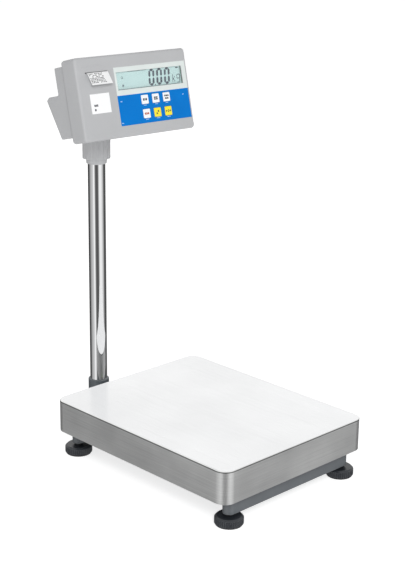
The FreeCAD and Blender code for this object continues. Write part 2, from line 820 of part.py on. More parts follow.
def make_tilt_joint():
    """The U bracket on the slanted rear face, and the bolt with its knob."""
    pivot = pivot_on_slant()
    inside = "lug_width / 2 + side_gap"
    body = new_body("tilt_bracket")
    low, high = f"{pivot.z} - bracket_foot", f"{pivot.z} + bracket_head"
    pad(body, "XZ", 0.02, "ear_thick", [rect("-bracket_half", low, "bracket_half", high)])
    for left in (inside, f"-({inside} + ear_thick)"):
        ear = [("ear_thick / 2", f"{low} + 4"), (pivot.y, f"{pivot.z} - ear_radius"),
               (pivot.y, f"{pivot.z} + ear_radius"), ("ear_thick / 2", f"{high} - 4")]
        pad(body, "YZ", left, "ear_thick", [ear])
        pad(body, "YZ", left, "ear_thick", [(pivot.y, pivot.z, "ear_radius")])
    pocket(body, "YZ", f"-({inside} + ear_thick)", f"2 * ({inside} + ear_thick)",
           [(pivot.y, pivot.z, "pivot_radius + run_gap")])
    places = [f"{side} * bracket_screw_place" for side in SIDES]
    holes = [(x, pivot.z - 2, "bracket_screw_radius + bolt_gap") for x in places]
    pocket(body, "XZ", 0, "ear_thick * 1.5", holes)
    body.Placement = SLANT_FACE
    screws = [screw(x, "ear_thick + 0.05", pivot.z - 2, "bracket_screw_radius", "bracket_screw_length",
                    "bracket_screw_radius * 1.9", "bracket_screw_radius * 1.2", (0, 1, 0)) for x in places]
    group(screws, "bracket_screws", SLANT_FACE)
    make_tilt_knob()


def make_tilt_knob():
    """The clamping bolt through the lug, with its gripped knob on the right and its head on the left."""
    knob = new_body("tilt_knob")
    reach = "lug_width / 2 + side_gap + ear_thick + foot_gap"
    high, back = "pivot_height", "-pivot_ahead"
    pad(knob, "YZ", reach, "knob_thick", [(back, high, "knob_radius")])
    dress(knob, "Fillet", "knob_thick / 6", in_plane(0, num(f"{reach} + knob_thick")))
    flute = pocket(knob, "YZ", reach, "knob_thick", [(f"{back} + grip_place", high, "grip_radius")])
    pattern = knob.newObject("PartDesign::PolarPattern", "grip")
    pattern.Originals = [flute]
    pattern.Axis = (knob_axis(knob), ["N_Axis"])
    pattern.Angle = 360
    pattern.Occurrences = KNOB_GRIPS
    knob.Tip = pattern
    doc.recompute()
    pad(knob, "YZ", f"-({reach})", f"2 * ({reach}) + knob_thick / 2", [(back, high, "pivot_radius")])
    pad(knob, "YZ", f"-({reach}) - pivot_head_thick", "pivot_head_thick", [(back, high, "pivot_head_radius")])
    knob.Placement = COLLAR


def knob_axis(body):
    """A bare sketch whose normal is the pivot's axis."""
    sketch = body.newObject("Sketcher::SketchObject", "pivot_axis")
    sketch.AttachmentSupport = [(origin_plane(body, "YZ"), "")]
    sketch.MapMode = "FlatFace"
    sketch.AttachmentOffset = shift("-pivot_ahead", "pivot_height", 0)
    doc.recompute()
    return sketch


# ---------------------------------------------------------------- head housing

HALF = "head_width / 2"


def key_places():
    for row, height in (("upper", "key_row_high"), ("lower", "key_row_low")):
        for column in range(3):
            yield row, column + 1, f"key_first + {column} * key_pitch", height


def key_rect(x, height, margin):
    wide, tall = f"(key_width / 2 + {margin})", f"(key_height / 2 + {margin})"
    return rect(f"{x} - {wide}", f"{height} - {tall}", f"{x} + {wide}", f"{height} + {tall}")


BOARD_POSTS = [(-40, 30), (128, 30), (-40, 136.5), (128, 136.5)]
HOUSING_SCREWS = (-122, -42, 42, 122)


def make_bezel():
    body = new_body("front_housing")
    pad(body, "XZ", 0, "head_depth", [rect(f"-{HALF}", 0, HALF, "head_height")])
    dress(body, "Fillet", "head_corner", along(1))
    dress(body, "Fillet", "head_front_edge", in_plane(1, 0))
    dress(body, "Fillet", "head_back_edge", in_plane(1, num("head_depth")))
    wall = "head_wall"
    pocket(body, "XZ", wall, f"head_depth - 2 * {wall}",
           [(f"-({HALF} - {wall})", wall, f"{HALF} - {wall}", f"head_height - {wall}",
             f"(head_corner - {wall})")])
    back, through = f"head_depth - {wall} - 0.1", f"{wall} + 0.2"
    pocket(body, "XZ", back, through,
           [rect("-back_opening", "back_opening_low", "back_opening", "back_opening_high")])
    pocket(body, "XZ", 0, "recess", [rect("overlay_left", "overlay_low", "overlay_right", "overlay_high")])
    pocket(body, "XZ", 0, wall, [rect("window_left", "window_low", "window_right", "window_high")])
    for _, _, x, height in key_places():
        pocket(body, "XZ", 0, wall, [key_rect(x, height, "key_gap")])
    pocket(body, "XZ", -1, f"{wall} + 1", [rect("slot_left", "slot_low", "slot_right", "slot_high")])
    pocket(body, "XZ", -1, "1 + seam_depth", [rect("seam_left", "seam_low", "seam_right", "seam_high")])
    for x, height in BOARD_POSTS:
        pad(body, "XZ", f"{wall} / 2", f"post_length - {wall} / 2", [(x, height, "post_radius")])
        pocket(body, "XZ", f"{wall} + 1", f"post_length - {wall}", [(x, height, "post_hole")])
    for x in HOUSING_SCREWS:
        pocket(body, "XZ", back, through, [(x, "housing_screw_height", "housing_screw_radius + bolt_gap")])
    body.Placement = HEAD


def rear_outline():
    return [("head_depth", "cover_low"), ("bulge_foot", "cover_low"), ("bulge_depth", "bulge_edge"),
            ("bulge_depth - bulge_chamfer", "bulge_top"), ("cover_depth", "bulge_top"),
            ("cover_depth", "cover_top"), ("head_depth", "cover_top")]


def rear_hollow():
    """The rear outline moved in by the wall, and run out through the open front."""
    lean = math.radians(SLANT)
    along_slant = f"head_wall * ({math.tan(lean)} - {1 / math.cos(lean)})"
    across = f"head_wall * {1 / math.cos(lean)}"
    return [("head_depth - 2", "cover_low + head_wall"),
            (f"bulge_foot + {along_slant}", "cover_low + head_wall"),
            (f"bulge_depth - {across}", "bulge_edge"),
            ("bulge_depth - bulge_chamfer - head_wall", "bulge_top - head_wall"),
            ("cover_depth - head_wall", "bulge_top - head_wall"),
            ("cover_depth - head_wall", "cover_top - head_wall"),
            ("head_depth - 2", "cover_top - head_wall")]


def outer_rear_edges(edge):
    return edge.BoundBox.YMax > num("head_depth") + 0.01


def make_rear_housing():
    body = new_body("rear_housing_body")
    pad(body, "YZ", "-cover_half", "2 * cover_half", [rear_outline()])
    dress(body, "Fillet", "head_wall + 0.5", outer_rear_edges)
    pocket(body, "YZ", "-(cover_half - head_wall)", "2 * (cover_half - head_wall)", [rear_hollow()])
    height, boss = "housing_screw_height", "cover_depth - head_depth"
    for x in HOUSING_SCREWS:
        pad(body, "XZ", "head_depth", f"{boss} - 1", [(x, height, "screw_boss")])
        pocket(body, "XZ", "head_depth", f"{boss} + 1", [(x, height, "housing_screw_radius + bolt_gap")])
        sink = [(x, height, "screw_sink")]
        pocket(body, "XZ", "cover_depth - screw_sink_depth", "screw_sink_depth + 1", sink)
    inlet_hole = ("inlet_x", "socket_depth", "inlet_radius + bolt_gap")
    for outline in (inlet_hole, serial_outline(SERIAL_FLANGE, "0.6")):
        pocket(body, "XY", "cover_low - 1", "head_wall + 2", [outline])
    barrel, low, high = "hatch_barrel", "hatch_low", "hatch_high"
    left, right = "hatch_left", "hatch_right"
    floor = f"{low} - {barrel} - hatch_gap"
    hole = block(left, "-2 * head_wall", floor, f"{right} - {left}", "3 * head_wall",
                 f"{high} - {low} + {barrel} + 2 * hatch_gap")
    hole.Placement = SLANT_LOCAL * hole.Placement
    opened = cut(body, hole, "rear_housing_opened")
    lugs = []
    ways = []
    for x in (f"{left} - lug_thick", right):
        lug = block(x, "-lug_depth", floor, "lug_thick", "lug_depth - head_wall + 0.5", f"2 * {barrel} + 1")
        lug.Placement = SLANT_LOCAL * lug.Placement
        lugs.append(lug)
        ways.append(slant_rod(x, "-0.1 - hatch_barrel", low, "hatch_pin + 0.02", "lug_thick", (1, 0, 0)))
    for side in SIDES:
        ways.append(slant_rod(f"{side} * bracket_screw_place", "-lug_depth", pivot_on_slant().z - 2,
                              "bracket_screw_radius + bolt_gap", "lug_depth + 1", (0, 1, 0)))
    cut(fuse([opened] + lugs), fuse(ways, "holes"), "rear_housing", HEAD)

    screws = [screw(x, "cover_depth - screw_sink_depth + 0.05", height, "housing_screw_radius",
                    f"{boss} - 2.2", "housing_screw_radius * 2", "screw_sink_depth - 1", (0, 1, 0))
              for x in HOUSING_SCREWS]
    group(screws, "housing_screws", HEAD)


def slant_rod(x, y, z, radius, length, axis):
    """A cylinder given on the slanted face's own axes."""
    rod = cylinder(x, y, z, radius, length, axis)
    rod.Placement = SLANT_LOCAL * rod.Placement
    return rod


def make_hatch():
    """The cover of the paper roll bay, with its barrel, and the pin that it swings on."""
    low, high, barrel = "hatch_low", "hatch_high", "hatch_barrel"
    left, right = "hatch_left + hatch_gap", "hatch_right - hatch_gap"
    body = new_body("roll_cover")
    depth = f"-(0.1 + {barrel})"
    pad(body, "YZ", left, f"({right}) - ({left})", [(depth, low, barrel)])
    pad(body, "YZ", left, f"({right}) - ({left})",
        [rect("-head_wall - 0.1", low, "-0.1", high)])
    pocket(body, "YZ", left, f"({right}) - ({left})", [(depth, low, "hatch_pin + run_gap")])
    body.Placement = SLANT_FACE
    prism("cover_pin", SLANT_FACE, "YZ", "hatch_left - lug_thick + 0.1",
          "hatch_right - hatch_left + 2 * (lug_thick - 0.1)", [(depth, low, "hatch_pin")])


# ---------------------------------------------------------------- display, keys and boards

def make_display():
    overlay = new_body("keypad_overlay")
    pad(overlay, "XZ", "recess - overlay_thick", "overlay_thick",
        [rect("overlay_left + 0.2", "overlay_low + 0.2", "overlay_right - 0.2", "overlay_high - 0.2")])
    pocket(overlay, "XZ", 0, 1, [rect("window_left", "window_low", "window_right", "window_high")])
    for _, _, x, height in key_places():
        pocket(overlay, "XZ", 0, 1, [key_rect(x, height, "key_gap")])
    overlay.Placement = HEAD
    left, right, low, high = "window_left", "window_right", "window_low", "window_high"
    window = new_body("display_window")
    pad(window, "XZ", "head_wall + 0.02", "window_sheet",
        [rect(f"{left} - 2", f"{low} - 2", f"{right} + 2", f"{high} + 2")])
    pad(window, "XZ", "recess", "head_wall - recess + 0.1",
        [rect(f"{left} + 0.1", f"{low} + 0.1", f"{right} - 0.1", f"{high} - 0.1")])
    window.Placement = HEAD
    prism("lcd_module", HEAD, "XZ", "lcd_depth", "lcd_thick",
          [rect(f"{left} + 3", f"{low} - 3", f"{right} - 1", f"{high} + 2")])


def make_keys():
    for row, column, x, height in key_places():
        body = new_body(f"key_{row}_{column}")
        pad(body, "XZ", "-key_proud", "key_depth", [key_rect(x, height, "0")])
        dress(body, "Fillet", 2, along(1))
        dress(body, "Fillet", "key_proud - 0.05", in_plane(1, -num("key_proud")))
        body.Placement = HEAD


# Left, low, width, height and thickness of the larger parts on the main board.
BOARD_CHIPS = ((0, 50, 22, 22, 3), (60, 60, 30, 16, 4), (60, 100, 14, 14, 2.5), (100, 45, 16, 30, 9),
               (10, 105, 20, 12, 8))


def make_boards():
    prism("keypad_board", HEAD, "XZ", "keypad_board_depth", "board_thick", [rect(0, 28, 96, 84)])
    board = new_body("main_board")
    pad(board, "XZ", "board_depth", "board_thick", [rect(-46, 25, 134, 143)])
    for x, height in BOARD_POSTS:
        pocket(board, "XZ", "board_depth - 0.1", "board_thick + 0.4", [(x, height, "post_hole + 0.25")])
    for x, height, wide, tall, deep in BOARD_CHIPS:
        pad(board, "XZ", "board_depth + board_thick / 2", f"{deep} + board_thick / 2",
            [rect(x, height, x + wide, height + tall)])
    board.Placement = HEAD
    screws = [screw(x, "board_depth + board_thick + 0.05", height, "post_hole - 0.05",
                    "board_screw_length", "post_hole * 2", "board_screw_head", (0, 1, 0))
              for x, height in BOARD_POSTS]
    group(screws, "board_screws", HEAD)


def make_battery():
    body = new_body("battery")
    left, low, front = "battery_left", "battery_low", "battery_front"
    pad(body, "XZ", front, "battery_thick",
        [rect(left, low, f"{left} + battery_width", f"{low} + battery_height")])
    dress(body, "Fillet", 2, along(1))
    top = f"{low} + battery_height"
    for x in (f"{left} + terminal_inset", f"{left} + battery_width - terminal_inset - terminal_width"):
        pad(body, "XZ", f"{front} + 8", "terminal_width",
            [rect(x, f"{top} - 1", f"{x} + terminal_width", f"{top} + terminal_height")])
    body.Placement = HEAD


# Half width and half height of the serial connector's shell, its mouth and its flange.
SERIAL_SHELL = (9.5, 4.2)
SERIAL_MOUTH = (8.7, 3.4)
SERIAL_FLANGE = (15.4, 5.8)


def serial_outline(half, margin="0"):
    wide, tall = f"({half[0]} + {margin})", f"({half[1]} + {margin} / 3)"
    return rect(f"serial_x - {wide}", f"serial_middle - {tall}",
                f"serial_x + {wide}", f"serial_middle + {tall}")


def make_sockets():
    """The power inlet and the serial connector in the underside of the rear housing."""
    inlet = new_body("power_inlet")
    x, deep, flange = "inlet_x", "socket_depth", "inlet_flange"
    mouth = "cover_low - 1.5"
    pad(inlet, "XY", mouth, "inlet_length", [(x, deep, "inlet_radius")])
    pad(inlet, "XY", "cover_low + head_wall + 0.05", 3,
        [rect(f"{x} - {flange}", f"{deep} - {flange}", f"{x} + {flange}", f"{deep} + {flange}")])
    pocket(inlet, "XY", mouth, "inlet_length - 2", [(x, deep, "inlet_radius - 1.25")])
    pad(inlet, "XY", "cover_low", "inlet_length - 2", [(x, deep, "inlet_radius / 4")])
    inlet.Placement = HEAD
    serial = new_body("serial_connector")
    pad(serial, "XY", "cover_low - 3", 10, [serial_outline(SERIAL_SHELL)])
    pad(serial, "XY", "cover_low + 0.3", 1.2, [serial_outline(SERIAL_FLANGE)])
    dress(serial, "Fillet", 0.8, lambda edge: along(2)(edge) and edge.Length > 1)
    pocket(serial, "XY", "cover_low - 3", 6, [serial_outline(SERIAL_MOUTH)])
    serial.Placement = HEAD


# ---------------------------------------------------------------- printer

def make_printer():
    left, right = "strip_left", "strip_right"
    depth, height = "platen_depth", "platen_height"
    frame = new_body("printer_frame")
    span = f"{right} - ({left})"
    pad(frame, "XZ", "frame_depth", "frame_sheet",
        [rect(f"{left} - 5", "frame_low", f"{right} + 5", "frame_high")])
    for x in (f"{left} - 5", f"{right} + 3"):
        pad(frame, "YZ", x, "frame_sheet",
            [rect("frame_front", "frame_side_low", "frame_depth + frame_sheet / 2", "frame_high")])
    pocket(frame, "YZ", f"{left} - 6", f"{span} + 12", [(depth, height, "platen_shaft + 0.05")])
    frame.Placement = HEAD

    body = new_body("platen_roller")
    pad(body, "YZ", f"{left} + 0.5", f"{span} - 1", [(depth, height, "platen_radius")])
    pad(body, "YZ", f"{left} - 5.5", f"{span} + 14", [(depth, height, "platen_shaft")])
    pad(body, "YZ", f"{right} + 5.5", 3, [(depth, height, "platen_gear")])
    body.Placement = HEAD
    under = f"{height} + platen_radius + 0.3"
    prism("print_head", HEAD, "XZ", "print_head_front", "print_head_depth",
          [rect(f"{left} - 2.5", under, f"{right} + 2.5", f"{under} + print_head_thick")])
    make_roll(left, right, span)


def make_roll(left, right, span):
    """The label roll on its spindle, and the cradle that carries the spindle's ends."""
    roll = new_body("paper_roll")
    axis = ("roll_depth", "roll_height")
    pad(roll, "YZ", f"{left} + 0.5", f"{span} - 1", [(*axis, "roll_radius")])
    pocket(roll, "YZ", f"{left} + 0.5", f"{span} - 1", [(*axis, "roll_core")])
    roll.Placement = HEAD
    spindle = new_body("roll_spindle")
    pad(spindle, "YZ", f"{left} - 4", f"{span} + 8", [(*axis, "spindle_radius")])
    pad(spindle, "YZ", f"{left} + 2", f"{span} - 4", [(*axis, "roll_core - run_gap")])
    spindle.Placement = HEAD
    cradle = new_body("roll_cradle")
    floor, near, far = "cover_low + head_wall + 0.05", "roll_depth - cradle_half", "roll_depth + cradle_half"
    for x in (f"{left} - 6", f"{right} + 6 - cradle_side"):
        pad(cradle, "YZ", x, "cradle_side", [rect(near, floor, far, "roll_height + cradle_half")])
    pad(cradle, "XY", floor, 2, [rect(f"{left} - 6", near, f"{right} + 6", far)])
    for x in (f"{left} - 6.5", f"{right} + 2"):
        pocket(cradle, "YZ", x, "cradle_side + 1", [(*axis, "spindle_radius + run_gap")])
    cradle.Placement = HEAD


def make_paper():
    """The printed strip curling out of the slot, and the blank label stuck on the face."""
    bend, thick, tail = num("strip_bend"), num("paper_thick"), num("strip_tail")
    lean = math.radians(STRIP_LEAN)

    def offset_path(radius):
        centre = FreeCAD.Vector(0, 0, num("strip_exit - strip_bend"))
        top = centre + FreeCAD.Vector(0, 0, radius)
        middle = centre + FreeCAD.Vector(0, -math.sin(lean / 2), math.cos(lean / 2)) * radius
        end = centre + FreeCAD.Vector(0, -math.sin(lean), math.cos(lean)) * radius
        tip = end + FreeCAD.Vector(0, -math.cos(lean), -math.sin(lean)) * tail
        return top + FreeCAD.Vector(0, num("strip_inside"), 0), top, middle, end, tip

    outer, inner = offset_path(bend + thick / 2), offset_path(bend - thick / 2)
    edges = [Part.LineSegment(outer[0], outer[1]), Part.Arc(outer[1], outer[2], outer[3]),
             Part.LineSegment(outer[3], outer[4]), Part.LineSegment(outer[4], inner[4]),
             Part.LineSegment(inner[4], inner[3]), Part.Arc(inner[3], inner[2], inner[1]),
             Part.LineSegment(inner[1], inner[0]), Part.LineSegment(inner[0], outer[0])]
    face = Part.Face(Part.Wire([edge.toShape() for edge in edges]))
    width = num("strip_right - strip_left")
    strip = doc.addObject("Part::Feature", "label_strip")
    strip.Label = "label_strip"
    edge = face.translated(FreeCAD.Vector(num("strip_left"), 0, 0))
    strip.Shape = edge.extrude(FreeCAD.Vector(width, 0, 0))
    strip.Placement = HEAD
    outline = rect("label_left", "label_low", "label_right", "label_high")
    prism("data_label", HEAD, "XZ", -0.22, 0.2, [outline])


# ---------------------------------------------------------------- build, check and write

def build_all():
    make_pan()
    make_support()
    make_load_cell()
    make_base()
    make_level()
    make_pole()
    make_feet()
    make_collar()
    make_tilt_joint()
    make_bezel()
    make_rear_housing()
    make_hatch()
    make_display()
    make_keys()
    make_boards()
    make_battery()
    make_sockets()
    make_printer()
    make_paper()
    doc.recompute()


def is_sub_part(obj):
    """Top-level solids: not used by another feature and not inside a body."""
    if not hasattr(obj, "Shape") or obj.TypeId in ("App::Plane", "App::Line", "App::Point", "App::Origin"):
        return False
    users = [user for user in obj.InList if user.TypeId != "App::Origin"]
    return not users and obj.TypeId != "Sketcher::SketchObject"


def write_parts():
    os.makedirs("parts", exist_ok=True)
    bad = [obj.Name for obj in doc.Objects if "Invalid" in obj.State or "Error" in obj.State]
    if bad:
        raise RuntimeError("failed objects: " + ", ".join(bad))
    parts = [obj for obj in doc.Objects if is_sub_part(obj)]
    for obj in parts:
        if obj.Shape.isNull() or not obj.Shape.isValid() or obj.Shape.Volume <= 0:
            raise RuntimeError("bad shape: " + obj.Label)
    for obj in parts:
        obj.Shape.exportStep(f"parts/{obj.Label}.step")
    print(len(parts), "sub-parts written")


build_all()
write_parts()
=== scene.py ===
import json
import math
import random

import bmesh
import bpy
from mathutils import Matrix, Vector


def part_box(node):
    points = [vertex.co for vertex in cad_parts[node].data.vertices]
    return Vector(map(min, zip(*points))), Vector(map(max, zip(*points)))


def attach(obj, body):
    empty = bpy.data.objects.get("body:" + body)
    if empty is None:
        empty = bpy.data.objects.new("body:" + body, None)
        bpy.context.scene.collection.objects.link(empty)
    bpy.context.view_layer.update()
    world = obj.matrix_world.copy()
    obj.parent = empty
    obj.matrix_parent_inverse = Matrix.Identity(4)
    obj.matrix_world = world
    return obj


# Bench scale with a printing indicator head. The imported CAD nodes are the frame; this script
# gives them their materials and adds the printed and fine pieces. Metres, +Z up.

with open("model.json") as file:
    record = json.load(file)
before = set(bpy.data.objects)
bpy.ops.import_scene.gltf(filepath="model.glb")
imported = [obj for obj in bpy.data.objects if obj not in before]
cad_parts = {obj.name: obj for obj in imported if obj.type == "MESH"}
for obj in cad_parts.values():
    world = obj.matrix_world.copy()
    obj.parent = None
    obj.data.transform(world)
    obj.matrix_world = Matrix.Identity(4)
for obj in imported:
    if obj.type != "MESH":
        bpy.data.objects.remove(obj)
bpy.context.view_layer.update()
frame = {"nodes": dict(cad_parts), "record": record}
record = frame["record"]
nodes = frame["nodes"]
MM = 0.001


# ---------------------------------------------------------------- frames taken from the record

def mount(name):
    return next(entry for entry in record["mounts"] if entry["name"] == name)


LABEL_EXIT_X, LABEL_EXIT_HEIGHT = -90, 134.5


def head_frame():
    """Axes of the head (across, into, up the face) and the middle of the face's lower edge."""
    into = -Vector(mount("label_exit")["axis"]).normalized()
    up = -Vector(mount("power_inlet")["axis"]).normalized()
    across = into.cross(up)
    corner = (Vector(mount("label_exit")["pos_m"]) - across * LABEL_EXIT_X * MM
              - up * LABEL_EXIT_HEIGHT * MM)
    place = Matrix((across, into, up)).transposed().to_4x4()
    place.translation = corner
    return place


HEAD = head_frame()


def inside_head(x, depth, height):
    """A point given in millimetres on the head's own axes."""
    return HEAD @ Vector((x * MM, depth * MM, height * MM))


# ---------------------------------------------------------------- materials

def new_material(name):
    material = bpy.data.materials.new(name)
    material.use_nodes = True
    tree = material.node_tree
    shader = tree.nodes["Principled BSDF"]
    return material, tree, shader


def node(tree, kind, **settings):
    made = tree.nodes.new(kind)
    for key, value in settings.items():
        if key.startswith("in_"):
            made.inputs[key[3:].replace("_", " ")].default_value = value
        else:
            setattr(made, key, value)
    return made


def object_coordinates(tree, stretch=(1, 1, 1)):
    coordinates = node(tree, "ShaderNodeTexCoord")
    mapping = node(tree, "ShaderNodeMapping")
    mapping.inputs["Scale"].default_value = stretch
    tree.links.new(coordinates.outputs["Object"], mapping.inputs["Vector"])
    return mapping.outputs["Vector"]


def noise(tree, vector, scale, detail=3.0, roughness=0.55):
    made = node(tree, "ShaderNodeTexNoise")
    made.inputs["Scale"].default_value = scale
    made.inputs["Detail"].default_value = detail
    made.inputs["Roughness"].default_value = roughness
    tree.links.new(vector, made.inputs["Vector"])
    return made.outputs["Fac"]


def remap(tree, value, low, high, source=(0.3, 0.7)):
    made = node(tree, "ShaderNodeMapRange")
    made.inputs["From Min"].default_value = source[0]
    made.inputs["From Max"].default_value = source[1]
    made.inputs["To Min"].default_value = low
    made.inputs["To Max"].default_value = high
    tree.links.new(value, made.inputs["Value"])
    return made.outputs["Result"]


def mix_colour(tree, factor, first, second):
    made = node(tree, "ShaderNodeMix", data_type="RGBA")
    for socket, value in (("Factor", factor), ("A", first), ("B", second)):
        target = next(s for s in made.inputs if s.name == socket and s.enabled)
        if isinstance(value, bpy.types.NodeSocket):
            tree.links.new(value, target)
        else:
            target.default_value = value
    return next(s for s in made.outputs if s.enabled)


def shade(colour, factor):
    return tuple(min(1.0, channel * factor) for channel in colour) + (1.0,)


def edge_mask(tree, radius):
    """Near 1 along sharp outer and inner edges, 0 on flat faces."""
    bevel = node(tree, "ShaderNodeBevel", samples=4)
    bevel.inputs["Radius"].default_value = radius
    geometry = node(tree, "ShaderNodeNewGeometry")
    dot = node(tree, "ShaderNodeVectorMath", operation="DOT_PRODUCT")
    tree.links.new(bevel.outputs["Normal"], dot.inputs[0])
    tree.links.new(geometry.outputs["Normal"], dot.inputs[1])
    return remap(tree, dot.outputs["Value"], 1.0, 0.0, source=(0.8, 0.99))


def add_bump(tree, shader, height, strength, distance):
    bump = node(tree, "ShaderNodeBump")
    bump.inputs["Strength"].default_value = strength
    bump.inputs["Distance"].default_value = distance
    tree.links.new(height, bump.inputs["Height"])
    tree.links.new(bump.outputs["Normal"], shader.inputs["Normal"])


def surface(name, colour, rough=0.5, metal=0.0, spread=0.05, rough_spread=0.06, blotch=14.0,
            grain=900.0, bump=0.25, bump_distance=0.00006, stretch=(1, 1, 1), edge_wear_and_highlight=None, coat=0.0,
            edge=0.0012):
    """A procedural finish: slow colour drift, fine grain in roughness and bump, and a lighter colour along
    edges that is wear on some parts and a painted highlight on others.
    """
    material, tree, shader = new_material(name)
    vector = object_coordinates(tree, stretch)
    drift = remap(tree, noise(tree, vector, blotch, 4.0), 0.0, 1.0)
    tint = mix_colour(tree, drift, shade(colour, 1 - spread), shade(colour, 1 + spread))
    # Edges are mixed towards a lighter colour: worn edges on some parts, a painted edge highlight on the
    # housing and the feet.
    if edge_wear_and_highlight:
        wear_and_highlight_breakup = remap(tree, noise(tree, vector, 60.0, 5.0), 0.25, 1.0)
        worn_and_highlit_edges = node(tree, "ShaderNodeMath", operation="MULTIPLY")
        tree.links.new(edge_mask(tree, edge), worn_and_highlit_edges.inputs[0])
        tree.links.new(wear_and_highlight_breakup, worn_and_highlit_edges.inputs[1])
        scaled = node(tree, "ShaderNodeMath", operation="MULTIPLY")
        scaled.inputs[1].default_value = edge_wear_and_highlight[1]
        tree.links.new(worn_and_highlit_edges.outputs["Value"], scaled.inputs[0])
        tint = mix_colour(tree, scaled.outputs["Value"], tint, tuple(edge_wear_and_highlight[0]) + (1.0,))
    tree.links.new(tint, shader.inputs["Base Color"])
    fine = noise(tree, vector, grain, 5.0)
    tree.links.new(remap(tree, fine, rough - rough_spread, rough + rough_spread), shader.inputs["Roughness"])
    shader.inputs["Metallic"].default_value = metal
    shader.inputs["Coat Weight"].default_value = coat
    shader.inputs["Coat Roughness"].default_value = 0.12
    add_bump(tree, shader, fine, bump, bump_distance)
    return material


PAN_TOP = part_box("weighing_pan")[1].z


def pan_height(tree):
    coordinates = node(tree, "ShaderNodeTexCoord")
    split = node(tree, "ShaderNodeSeparateXYZ")
    tree.links.new(coordinates.outputs["Object"], split.inputs["Vector"])
    return split.outputs["Z"]


def brushed_pan():
    """Stainless sheet: brush lines run round the skirt and along the top. The skirt is coloured darker than
    the top (painted shade), and a dark band under the rim is a painted shade line.
    """
    material, tree, shader = new_material("pan_steel")
    geometry = node(tree, "ShaderNodeNewGeometry")
    split = node(tree, "ShaderNodeSeparateXYZ")
    tree.links.new(geometry.outputs["Normal"], split.inputs["Vector"])
    top = remap(tree, split.outputs["Z"], 0.0, 1.0, source=(0.6, 0.9))
    round_skirt = noise(tree, object_coordinates(tree, (6, 6, 1600)), 1.0, 6.0, 0.7)
    along_top = noise(tree, object_coordinates(tree, (1100, 5, 5)), 1.0, 5.0, 0.7)
    lines = node(tree, "ShaderNodeMix", data_type="FLOAT")
    for name, value in (("Factor", top), ("A", round_skirt), ("B", along_top)):
        tree.links.new(value, next(s for s in lines.inputs if s.name == name and s.enabled))
    brush = next(s for s in lines.outputs if s.enabled)
    drift = remap(tree, noise(tree, object_coordinates(tree), 5.0, 3.0), -0.5, 0.5)
    both = node(tree, "ShaderNodeMath", operation="ADD")
    tree.links.new(remap(tree, brush, 0.0, 1.0), both.inputs[0])
    tree.links.new(drift, both.inputs[1])
    # Lit and shaded copies of the steel: the skirt is coloured darker (painted shade) and the top lighter
    # (painted brightness), chosen by which way each face points.
    tint = mix_colour(tree, both.outputs["Value"], (0.56, 0.565, 0.565, 1), (0.81, 0.815, 0.81, 1))
    lit_top_tint = mix_colour(tree, both.outputs["Value"], (0.86, 0.865, 0.87, 1), (0.94, 0.945, 0.95, 1))
    lit_top_and_shaded_skirt = mix_colour(tree, top, tint, lit_top_tint)
    # A near-black band painted a few millimetres below the top edge: painted shade line under the rim.
    rim_shade_line = 1.0
    for low, high in ((PAN_TOP - 0.0040, PAN_TOP - 0.0034), (PAN_TOP - 0.0012, PAN_TOP - 0.0018)):
        step = remap(tree, pan_height(tree), 0.0, 1.0, source=(low, high))
        product = node(tree, "ShaderNodeMath", operation="MULTIPLY")
        tree.links.new(step, product.inputs[0])
        if isinstance(rim_shade_line, bpy.types.NodeSocket):
            tree.links.new(rim_shade_line, product.inputs[1])
        else:
            product.inputs[1].default_value = 0.8
        rim_shade_line = product.outputs["Value"]
    tree.links.new(mix_colour(tree, rim_shade_line, lit_top_and_shaded_skirt, (0.07, 0.075, 0.07, 1)), shader.inputs["Base Color"])
    side_rough = remap(tree, brush, 0.34, 0.46)
    top_rough = remap(tree, brush, 0.12, 0.22)
    rough = node(tree, "ShaderNodeMix", data_type="FLOAT")
    for name, value in (("Factor", top), ("A", side_rough), ("B", top_rough)):
        tree.links.new(value, next(s for s in rough.inputs if s.name == name and s.enabled))
    tree.links.new(next(s for s in rough.outputs if s.enabled), shader.inputs["Roughness"])
    shader.inputs["Metallic"].default_value = 0.9
    add_bump(tree, shader, brush, 0.10, 0.00003)
    return material


def chrome():
    material, tree, shader = new_material("pole_chrome")
    vector = object_coordinates(tree, (1, 1, 0.4))
    smudge = noise(tree, vector, 22.0, 5.0)
    fine = noise(tree, object_coordinates(tree, (1, 1, 0.05)), 900.0, 4.0)
    tint = mix_colour(tree, remap(tree, smudge, 0, 1), (0.86, 0.865, 0.875, 1), (0.93, 0.935, 0.94, 1))
    tree.links.new(tint, shader.inputs["Base Color"])
    tree.links.new(remap(tree, smudge, 0.012, 0.035), shader.inputs["Roughness"])
    shader.inputs["Metallic"].default_value = 1.0
    add_bump(tree, shader, fine, 0.02, 0.000005)
    return material


def along_head(tree, axis):
    """How far a point lies along one of the head's axes, in millimetres."""
    coordinates = node(tree, "ShaderNodeTexCoord")
    away = node(tree, "ShaderNodeVectorMath", operation="SUBTRACT")
    away.inputs[1].default_value = HEAD.translation
    tree.links.new(coordinates.outputs["Object"], away.inputs[0])
    dot = node(tree, "ShaderNodeVectorMath", operation="DOT_PRODUCT")
    dot.inputs[1].default_value = Vector(HEAD.col[axis][:3]) / MM
    tree.links.new(away.outputs["Vector"], dot.inputs[0])
    return dot.outputs["Value"]


BLUE_TOP = 83.3


